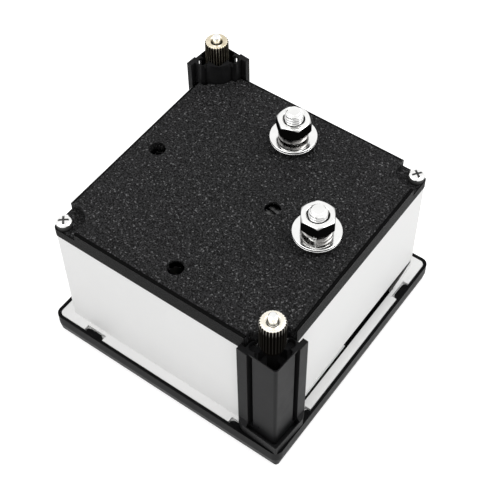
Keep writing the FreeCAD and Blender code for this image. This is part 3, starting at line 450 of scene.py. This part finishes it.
def thread(pitch, depth, low, high):
    """Rounded saw: the radius dips by depth once per pitch, one turn per revolution, fading at both ends."""
    def wobble(radius, height, angle):
        phase = (height / pitch - angle / (2 * np.pi)) % 1.0
        dip = depth * (0.5 + 0.5 * np.cos(2 * np.pi * phase)) ** 0.8
        fade_in = np.clip((height - low) / (0.5 * pitch), 0, 1)
        fade_out = np.clip((high - height) / (0.6 * pitch), 0, 1)
        return radius - dip * fade_in * fade_out
    return wobble


stud_crest = 2.32
stud_head, stud_head_top = 4.15, 41.65
stud_pitch, stud_groove, stud_thread_start = 0.8, 0.36, 45.5
cone_height, cone_radius = 0.95, 1.62
thread_shade = 0.75
stud_bottom, stud_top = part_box("terminal_studs")[0].z / mm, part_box("terminal_studs")[1].z / mm
stud_drops = (0.8, 0.0)


def stud(x, y, top):
    """Profile of head, shank and a blunt cone at the end, carried round the axis under the thread."""
    cone_start = top - cone_height
    profile = np.concatenate([
        softened([
            (0.6, stud_bottom), (stud_head, stud_bottom),
            (stud_head, stud_head_top), (stud_crest, stud_head_top),
        ], 0.3),
        np.linspace((stud_crest, stud_head_top + 0.35), (stud_crest, cone_start), 150),
        np.linspace((stud_crest, cone_start + 0.05), (cone_radius, top - 0.08), 20),
        softened([(cone_radius - 0.02, top - 0.06), (cone_radius - 0.12, top), (0.4, top)], 0.08),
    ])
    return turned_surface(profile, 72, x, y, thread(stud_pitch, stud_groove, stud_thread_start, top - 0.3))


stud_tops = [stud_top - drop for drop in stud_drops]
stud_points, stud_faces = gathered([stud(x, y, top) for (x, y), top in zip(terminals, stud_tops)])


def from_axis(points, axes):
    """Distance of each point from the nearest of some upright axes."""
    return np.stack([np.hypot(points[:, 0] - x, points[:, 1] - y) for x, y in axes]).min(0)


nickel_look = {
    "dark": (0.90, 0.90, 0.89), "light": (0.98, 0.98, 0.97),
    "rough_low": 0.08, "rough_high": 0.18, "scratch": 1400.0, "depth": 0.000002,
}
# Two copies of the same nickel: the first takes painted shade where a piece asks for it, the second has none.
plated = metal("plated", shade_tone=(0.004, 0.004, 0.004), **nickel_look)
nickel = metal("nickel", **nickel_look)
stud_z = stud_points[:, 2]
own_top = np.repeat(stud_tops, len(stud_points) // len(terminals))
groove = np.clip((stud_crest - from_axis(stud_points, terminals)) / stud_groove, 0, 1)
threaded = (stud_z > stud_thread_start) & (stud_z <= own_top - cone_height)
# Painted shade in the thread's hollows, deepest where they are deepest.
make_piece(
    "stud_turns", stud_points, stud_faces, "housing", plated, "nickel", ("terminal_studs",),
    crease=60, painted_shade=thread_shade * groove * threaded,
)


# Flat washers and spring washers
# Two nickel-plated flat washers with rolled edges on each stud, with painted shade on their rims but for what
# faces the light.
# The split washer above them is of steel, near black to mid grey in patches, a rectangle with soft corners
# carried along a shallow helix.
washer_bore, washer_rim = 2.68, 5.98
washer_low, washer_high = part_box("terminal_washers")[0].z / mm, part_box("terminal_washers")[1].z / mm
washer_middle = (washer_low + washer_high) / 2
flat_washers = []
for x, y in terminals:
    for low, high in ((washer_low, washer_middle), (washer_middle, washer_high)):
        middle = (low + high) / 2
        corners = [
            (washer_bore, middle), (washer_bore, low), (washer_rim, low),
            (washer_rim, high), (washer_bore, high), (washer_bore, middle),
        ]
        flat_washers.append(turned_ring(softened(corners, 0.22, 5)[:-1], 120, x, y))
washer_points, washer_faces = gathered(flat_washers)
# Painted shade on the rims, left off the lower washer's upper half and the upper washer's top edge, which face
# the light.
washer_rim_shade = np.clip((from_axis(washer_points, terminals) - washer_rim + 0.13) / 0.08, 0, 1)
washer_z = washer_points[:, 2]
lower_edge = washer_z < washer_middle - 0.27
upper_edge = (washer_z > washer_middle + 0.01) & (washer_z < washer_high - 0.08)
make_piece(
    "flat_washers", washer_points, washer_faces, "housing", plated, "nickel", ("terminal_washers",),
    painted_shade=washer_rim_shade * (lower_edge | upper_edge),
)


def helix_band(x, y, low, turn_start, span, rise, inner, outer, thick):
    """Soft-cornered rectangle carried along a shallow helix, with both ends closed."""
    section = softened([
        (inner, thick / 2), (inner, 0), (outer, 0), (outer, thick), (inner, thick), (inner, thick / 2),
    ], 0.16, 3)[:-1]
    steps = 80
    theta = np.radians(turn_start + np.linspace(0, span, steps))[:, None]
    radius = section[None, :, 0]
    height = low + section[None, :, 1] + rise * np.linspace(0, 1, steps)[:, None]
    count = len(section)
    faces = [tuple(f) for f in grid_faces(steps, count)]
    faces.append(tuple(range(count)))
    faces.append(tuple((steps - 1) * count + k for k in reversed(range(count))))
    return about_axis(x, y, radius, theta, height), faces


split_turns = (-66.0, 100.0)
split_half = 7.0
spring_bore, spring_rim, spring_thick = 2.66, 3.84, 1.18
spring_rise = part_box("spring_washers")[1].z / mm - washer_high - spring_thick - 0.02
spring_steel = metal(
    "spring_steel", (0.01, 0.01, 0.01), (0.34, 0.33, 0.32), 0.1, 0.22, scratch=1200.0, depth=0.000004,
)
bands = [
    helix_band(
        x, y, washer_high + 0.01, split + split_half, 360.0 - 2 * split_half,
        spring_rise, spring_bore, spring_rim, spring_thick,
    )
    for (x, y), split in zip(terminals, split_turns)
]
make_piece("split_washers", *gathered(bands), "housing", spring_steel, "spring_steel", ("spring_washers",))


# Terminal nuts
# Hexagon nuts, 8 mm across the flats, countersunk, with bright faces, a painted reflection of the dark cover
# on their sides and painted shade in their bores.
# The side's radius is that of a hexagon, and each chamfer of 30 degrees ends where its cone meets that side.
flats = 7.98
chamfer_slope = 30.0
nut_hole, nut_mouth = 2.5, 2.8
nut_low, nut_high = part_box("terminal_nuts")[0].z / mm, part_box("terminal_nuts")[1].z / mm


def hexagon_nut(x, y, turn):
    """Grid round the nut: bore, mouth, face, cone, flat, cone, face and mouth, for each angle."""
    columns = 144
    angle = np.arange(columns) * 2 * np.pi / columns
    local = (angle + np.pi / 6) % (np.pi / 3) - np.pi / 6
    side = flats / 2 / np.cos(local)
    side = np.minimum(side, flats / math.sqrt(3) - 0.05)
    face = flats * 0.48
    drop = np.maximum((side - face) * math.tan(math.radians(chamfer_slope)), 0.0)
    one = np.ones(columns)
    rows = [
        (nut_hole * one, (nut_low + 0.35) * one),
        (nut_mouth * one, nut_low * one),
        (face * one, nut_low * one),
        ((face + 0.06) * one, (nut_low + 0.03) * one),
        (side - 0.03, nut_low + drop - 0.02),
        (side, nut_low + drop + 0.05),
        (side, (nut_low + nut_high) / 2 * one),
        (side, nut_high - drop - 0.05),
        (side - 0.03, nut_high - drop + 0.02),
        ((face + 0.06) * one, (nut_high - 0.03) * one),
        (face * one, nut_high * one),
        ((nut_mouth + 0.06) * one, nut_high * one),
        ((nut_mouth - 0.02) * one, (nut_high - 0.04) * one),
        ((nut_hole + 0.02) * one, (nut_high - 0.32) * one),
        (nut_hole * one, (nut_high - 0.5) * one),
    ]
    radius = np.stack([r for r, z in rows])
    height = np.stack([z for r, z in rows])
    points = about_axis(x, y, radius, angle[None, :] + math.radians(turn + 30), height)
    return points, [tuple(f) for f in grid_faces(len(rows), columns, round_rows=True)]


nut_turns = (3.0, 19.0)
nut_points, nut_faces = gathered([hexagon_nut(x, y, turn) for (x, y), turn in zip(terminals, nut_turns)])
nut_plan = from_axis(nut_points, terminals)
# Painted reflection of the dark cover on the sides, and painted shade in the bores.
nut_side = (nut_plan > flats * 0.49) & (nut_points[:, 2] < nut_high - 0.04)
nut_bore = (nut_plan < 2.7) & (nut_points[:, 2] < nut_high - 0.2)
make_piece(
    "hexagon_nuts", nut_points, nut_faces, "housing", plated, "nickel", ("terminal_nuts",),
    crease=20, painted_shade=1.0 * (nut_side | nut_bore),
)


# Clamp studs
# Nickel-plated steel rods of 2.5 mm with a fine thread darkened by painted shade and a thinner, plain and
# chamfered point.
clamp_axes = ((30.45, -30.75), (-30.45, 30.75))
rod_low, rod_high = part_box("clamp_studs")[0].z / mm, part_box("clamp_studs")[1].z / mm
rod_crest, rod_point = 1.24, 1.04
rod_head, rod_head_top = 2.15, rod_low + 1.15
rod_pitch, rod_groove, rod_thread_start, rod_thread_end = 0.45, 0.22, 36.0, 54.2
rod_profile = np.concatenate([
    softened([(0.4, rod_low), (rod_head, rod_low), (rod_head, rod_head_top), (rod_crest, rod_head_top)], 0.2),
    np.linspace((rod_crest, rod_head_top + 0.15), (rod_crest, rod_thread_start), 40),
    np.linspace((rod_crest, rod_thread_start + 0.1), (rod_crest, rod_thread_end), 330),
    softened([
        (rod_crest, rod_thread_end + 0.1), (rod_point, rod_thread_end + 0.3),
        (rod_point, rod_high - 0.35), (0.8, rod_high), (0.3, rod_high),
    ], 0.1),
])
rod_thread = thread(rod_pitch, rod_groove, rod_thread_start + 0.3, rod_thread_end)
rod_points, rod_faces = gathered([turned_surface(rod_profile, 36, x, y, rod_thread) for x, y in clamp_axes])
# Painted shade over the whole threaded length.
rod_z = rod_points[:, 2]
make_piece(
    "clamp_rods", rod_points, rod_faces, "housing", plated, "nickel", ("clamp_studs",),
    crease=40, painted_shade=1.0 * ((rod_z > rod_thread_start) & (rod_z <= rod_thread_end + 0.2)),
)


# Thumb nuts
# Turned brass with a straight knurl, painted shade down its side and deepest in its hollows, a plain collar
# below and a countersunk mouth.
# The knurl is a pointed wave round the axis that fades into the chamfers at both ends.
def brass_with_painted_shade(name, x, y, dark, light):
    """Bright brass, faintly ringed by the turning tool about the nut's own axis, with painted shade in the
    knurl.
    """
    paint, tree, shader = put_nodes(name)
    place = object_place(tree)
    shift = tree.nodes.new("ShaderNodeMapping")
    shift.inputs["Location"].default_value = (-x * mm, -y * mm, 0.0)
    tree.links.new(place, shift.inputs["Vector"])
    rings = tree.nodes.new("ShaderNodeTexWave")
    rings.wave_type = "RINGS"
    rings.rings_direction = "Z"
    rings.inputs["Scale"].default_value = 1500.0
    rings.inputs["Distortion"].default_value = 1.5
    tree.links.new(shift.outputs[0], rings.inputs["Vector"])
    patches = cloud(tree, 500.0, 3.0, place)
    colour = with_painted_shade(tree, shader, shade(tree, patches, dark, light), (0.003, 0.0025, 0.002))
    tree.links.new(colour, shader.inputs["Base Color"])
    tree.links.new(spread(tree, patches, 0.16, 0.3), shader.inputs["Roughness"])
    relief(tree, shader, rings.outputs[0], 0.000003)
    return paint


knurls = 26
grip = 3.08
knurl_foot, knurl_depth = 2.7, 0.26
thread_bore, collar = 1.31, 2.58


def knurled(low):
    """Pointed wave of the radius round the axis, only between the chamfers."""
    def wobble(radius, height, angle):
        phase = (angle * knurls / (2 * np.pi)) % 1.0
        dip = knurl_depth * (1 - np.abs(2 * phase - 1) ** 1.5)
        full = (radius > knurl_foot) & (height > low + 0.9)
        return np.where(full, radius - dip * np.clip((radius - knurl_foot) / 0.25, 0, 1), radius)
    return wobble


def thumb_nut(name, x, y, body, dark, light, crest_shade, bore_shade):
    """Closed profile of bore, collar, knurl and mouth carried round the axis.

    The crest value gives how much painted shade the knurl's crests take at the top and further down, from 0 to
    1, and the bore value gives the same for the bore.
    """
    low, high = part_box(name)[0].z / mm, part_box(name)[1].z / mm
    outline = [
        (thread_bore, high - 0.9), (thread_bore, low + 0.2), (1.5, low + 0.01), (2.45, low + 0.01),
        (collar, low + 0.12), (collar, low + 0.95), (2.72, low + 1.1), (3.0, low + 1.3),
        (grip, low + 1.45), (grip, (low + high) / 2),
        (grip, high - 2.2), (grip, high - 1.3), (grip, high - 0.42), (3.02, high - 0.3), (2.86, high - 0.12),
        (2.78, high - 0.03), (2.68, high), (1.85, high), (1.72, high - 0.03), (thread_bore, high - 0.5),
    ]
    points, faces = turned_ring(outline, knurls * 8, x, y, knurled(low))
    plan = np.hypot(points[:, 0] - x, points[:, 1] - y)
    side = (points[:, 2] < high - 0.2) & (plan > 2.4)
    # Painted shade on the knurl's side, growing from the crests into the hollows, and in the bore.
    crests = np.interp(high - points[:, 2], (0.4, 2.2), crest_shade)
    knurl_shade = np.where(side, crests + (1 - crests) * np.clip((grip - plan) / 0.1, 0.0, 1.0), 0.0)
    bore = (plan < 1.6) & (points[:, 2] < high - 0.2)
    finish = brass_with_painted_shade(name + "_brass", x, y, dark, light)
    make_piece(
        name + "_knurl", points, faces, body, finish, "brass", (name,),
        crease=50, painted_shade=np.where(bore, bore_shade, knurl_shade),
    )


# The near nut takes painted shadow on the lower part of its knurl, where its bracket shades it; both take
# painted shade in their bores.
thumb_nut(
    "thumb_nut_near", *clamp_axes[0], "near_thumb_nut",
    dark=(0.93, 0.88, 0.76), light=(0.98, 0.95, 0.87), crest_shade=(0.6, 0.97), bore_shade=0.65,
)
thumb_nut(
    "thumb_nut_far", *clamp_axes[1], "far_thumb_nut",
    dark=(0.66, 0.58, 0.42), light=(0.93, 0.86, 0.70), crest_shade=(0.6, 0.6), bore_shade=0.85,
)


# Cover screws
# Nickel-plated pan-head screws with a cross recess, sunk in two corners of the cover.
# The head is a dome whose height drops inside the cross, worked out on a polar grid.
screw_axes = ((-30.6, -30.6), (30.6, 30.6))
screw_turns = (40.0, 52.0)
screw_seat, head_height, head_radius = 42.4, 2.35, 1.98
cross_reach, cross_half, cross_depth = 1.2, 0.24, 0.75
cross_shade = 0.86


def dome_height(radius):
    """Height of the plain dome, which falls by half a millimetre with the fourth power of the radius."""
    return screw_seat + head_height - 0.5 * (radius / head_radius) ** 4


def pan_head(x, y, turn):
    """Height over radius and angle: a dome less a cross-shaped recess with sloping walls."""
    columns = 120
    angle = np.arange(columns) * 2 * np.pi / columns
    reach = np.concatenate([np.linspace(0.02, 1.35, 18), np.linspace(1.45, head_radius, 8)])
    radius, theta = np.meshgrid(reach, angle, indexing="ij")
    u = np.abs(radius * np.cos(theta))
    v = np.abs(radius * np.sin(theta))
    arm_u = np.maximum(u / cross_reach, v / cross_half)
    arm_v = np.maximum(v / cross_reach, u / cross_half)
    depth = cross_depth * np.clip((1.12 - np.minimum(arm_u, arm_v)) / 0.35, 0, 1)
    height = dome_height(radius) - depth
    under = [
        (head_radius + 0.01, screw_seat + 1.66), (head_radius, screw_seat + 0.02),
        (1.1, screw_seat + 0.01), (1.08, screw_seat - 10.8),
    ]
    radius = np.concatenate([radius] + [np.full((1, columns), r) for r, z in under])
    height = np.concatenate([height] + [np.full((1, columns), z) for r, z in under])
    theta = np.concatenate([theta] + [angle[None, :]] * len(under)) + math.radians(turn)
    rows = len(reach) + len(under)
    faces = [tuple(f)[::-1] for f in grid_faces(rows, columns)]
    faces.append(tuple(range(columns)))
    faces.append(tuple((rows - 1) * columns + k for k in reversed(range(columns))))
    return about_axis(x, y, radius, theta, height), faces


screw_points, screw_faces = gathered([pan_head(x, y, turn) for (x, y), turn in zip(screw_axes, screw_turns)])
screw_plan = from_axis(screw_points, screw_axes)
# Painted shade in the cross recess and on the head's side below the dome.
sunk = np.clip((dome_height(screw_plan) - screw_points[:, 2]) / 0.2, 0, 1)
make_piece(
    "pan_heads", screw_points, screw_faces, "housing", plated, "nickel", ("cover_screws",),
    crease=40, painted_shade=sunk * np.where(screw_plan < head_radius - 0.08, cross_shade, 1.0),
)


# Rear adjuster
# Slotted dark metal screw low in its well, in a small body of dark blue resin.
trimmer_metal = metal(
    "trimmer_metal", (0.008, 0.008, 0.008), (0.12, 0.12, 0.12), 0.25, 0.5,
    scratch=2500.0, depth=0.00003, patch=900.0, edge=0.0001,
)
dress(trimmer_metal, "trimmer_screw")
resin = moulded("trimmer_resin", (0.02, 0.03, 0.06), (0.03, 0.04, 0.08), 0.5, 2500.0, 0.00001)
dress(resin, "trimmer_body")


# Pane
# Clear pane, polished on both faces.
pane, tree, shader = put_nodes("pane")
shader.inputs["Base Color"].default_value = (1.0, 1.0, 1.0, 1.0)
shader.inputs["Transmission Weight"].default_value = 1.0
shader.inputs["IOR"].default_value = 1.49
place = object_place(tree)
tree.links.new(spread(tree, cloud(tree, 60.0, 2.0, place), 0.0, 0.02), shader.inputs["Roughness"])
dress(pane, "window")


# Dial
# Aluminium plate painted matt white, printed with a quarter-circle scale of fifty parts and plain numbers.
# Each line is a thin band bent about the pointer's axis, a hair proud of the paint.
pivot = 18.0
dial_screw_head = 0.8
dial_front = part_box("dial_screws")[0].z / mm + dial_screw_head
dial_paint = moulded("dial_paint", (0.80, 0.80, 0.78), (0.84, 0.84, 0.82), 0.6, 4000.0, 0.000004, gloss=0.3)
dress(dial_paint, "dial_plate")
ink = moulded("ink", (0.008, 0.008, 0.008), (0.014, 0.014, 0.014), 0.55, 5000.0, 0.000002, gloss=0.3)
ink_front, ink_back = dial_front - 0.03, dial_front + 0.01
number_half_depth = 0.015


def scale_band(inner, outer, start, end, steps):
    """Flat band between two radii and two angles, angle 0 towards -X and growing towards -Y."""
    theta = np.radians(np.linspace(start, end, steps))[:, None]
    radius = np.array([inner, outer, outer, inner])[None, :]
    height = np.array([ink_front, ink_front, ink_back, ink_back])[None, :] + 0 * theta
    x, y = pivot - radius * np.cos(theta), pivot - radius * np.sin(theta)
    points = np.stack([x, y, height], 2).reshape(-1, 3)
    faces = [tuple(f) for f in grid_faces(steps, 4)]
    faces.append((0, 1, 2, 3))
    faces.append(tuple((steps - 1) * 4 + k for k in (3, 2, 1, 0)))
    return points, faces


arc_radius = 39.7
arc_span = 90.0
divisions = 50
scale_marks = [scale_band(arc_radius - 0.12, arc_radius + 0.12, 0.0, arc_span, 91)]
for division in range(divisions + 1):
    angle = division * arc_span / divisions
    length = 3.1 if division % 10 == 0 else 2.4 if division % 5 == 0 else 1.6
    width = 0.3 if division % 10 == 0 else 0.16
    half = math.degrees(width / 2 / arc_radius)
    scale_marks.append(scale_band(arc_radius + 0.1, arc_radius + length, angle - half, angle + half, 2))
make_piece("scale_lines", *gathered(scale_marks), "housing", ink, "black_paint")


def printed_number(text, angle, radius, size):
    """Flat number as mesh points, its top pointing away from the pointer's axis."""
    curve = bpy.data.curves.new("number", "FONT")
    curve.body = text
    curve.size = size
    curve.align_x = "CENTER"
    curve.align_y = "CENTER"
    curve.extrude = number_half_depth
    curve.resolution_u = 4
    shape = bpy.data.objects.new("number", curve)
    scene.collection.objects.link(shape)
    bpy.context.view_layer.update()
    flat = bpy.data.meshes.new_from_object(shape.evaluated_get(bpy.context.evaluated_depsgraph_get()))
    count = len(flat.vertices)
    local = np.zeros(count * 3)
    flat.vertices.foreach_get("co", local)
    local = local.reshape(-1, 3)
    faces = [tuple(p.vertices) for p in flat.polygons]
    bpy.data.objects.remove(shape)
    bpy.data.curves.remove(curve)
    bpy.data.meshes.remove(flat)
    turn = math.radians(angle)
    up = np.array([-math.cos(turn), -math.sin(turn)])
    across = np.array([-up[1], up[0]])
    middle = np.array([pivot, pivot]) + radius * up
    plan = middle + local[:, :1] * across + local[:, 1:2] * up
    return np.concatenate([plan, ink_front + number_half_depth - local[:, 2:]], 1), faces


number_radius, number_size = 45.0, 3.0
numbers = [printed_number(str(k * 20), k * arc_span / 5, number_radius, number_size) for k in range(6)]
make_piece("scale_numbers", *gathered(numbers), "housing", ink, "black_paint")
dress(nickel, "dial_screws")


# Pointer and moving coil
# Pointer of thin blackened aluminium, coil frame and bridges of bare aluminium, winding of lacquered copper.
# The winding shows its turns as fine ridges across its width.
dress(ink, "pointer")
bare_aluminium = metal(
    "bare_aluminium", (0.72, 0.72, 0.73), (0.80, 0.80, 0.81), 0.28, 0.4,
    scratch=1500.0, depth=0.000005, edge=0.00008,
)
dress(bare_aluminium, "coil_former", "front_bridge", "rear_bridge")
copper, tree, shader = put_nodes("copper")
shader.inputs["Metallic"].default_value = 1.0
place = object_place(tree)
turns = tree.nodes.new("ShaderNodeTexWave")
turns.bands_direction = "Y"
turns.inputs["Scale"].default_value = 1500.0
tree.links.new(place, turns.inputs["Vector"])
winding_tones = shade(tree, turns.outputs[0], (0.38, 0.13, 0.06), (0.72, 0.33, 0.18), 0.1, 0.8)
tree.links.new(winding_tones, shader.inputs["Base Color"])
shader.inputs["Roughness"].default_value = 0.3
relief(tree, shader, turns.outputs[0], 0.00004)
dress(copper, "coil_winding")


# Springs, lever, lugs and bearing screws
# Phosphor bronze hairsprings and lever, brass lugs and bearing screws.
bronze = metal("bronze", (0.55, 0.34, 0.18), (0.66, 0.44, 0.25), 0.2, 0.32, scratch=1500.0, depth=0.000003)
dress(bronze, "hairspring_front", "hairspring_rear", "zero_lever")
lug_brass = metal(
    "lug_brass", (0.70, 0.55, 0.30), (0.80, 0.66, 0.40), 0.22, 0.36,
    scratch=1200.0, depth=0.000005, edge=0.0001,
)
dress(lug_brass, "terminal_lugs", "jewel_screws")


# Magnet, ring and holder
# Ground magnet core, plated soft-iron ring, and a die-cast holder with a dull skin.
magnet_steel = metal(
    "magnet_steel", (0.30, 0.29, 0.28), (0.42, 0.41, 0.40), 0.3, 0.45,
    scratch=700.0, depth=0.00001, edge=0.0001,
)
dress(magnet_steel, "magnet_core")
ring_plate = metal(
    "ring_plate", (0.50, 0.50, 0.49), (0.62, 0.62, 0.60), 0.22, 0.35,
    scratch=900.0, depth=0.000006, edge=0.0001,
)
dress(ring_plate, "yoke_ring")
cast_skin = metal(
    "cast_skin", (0.42, 0.43, 0.44), (0.52, 0.53, 0.54), 0.45, 0.6,
    scratch=2200.0, depth=0.00003, edge=0.00015,
)
dress(cast_skin, "core_holder")
dress(nickel, "movement_screws")
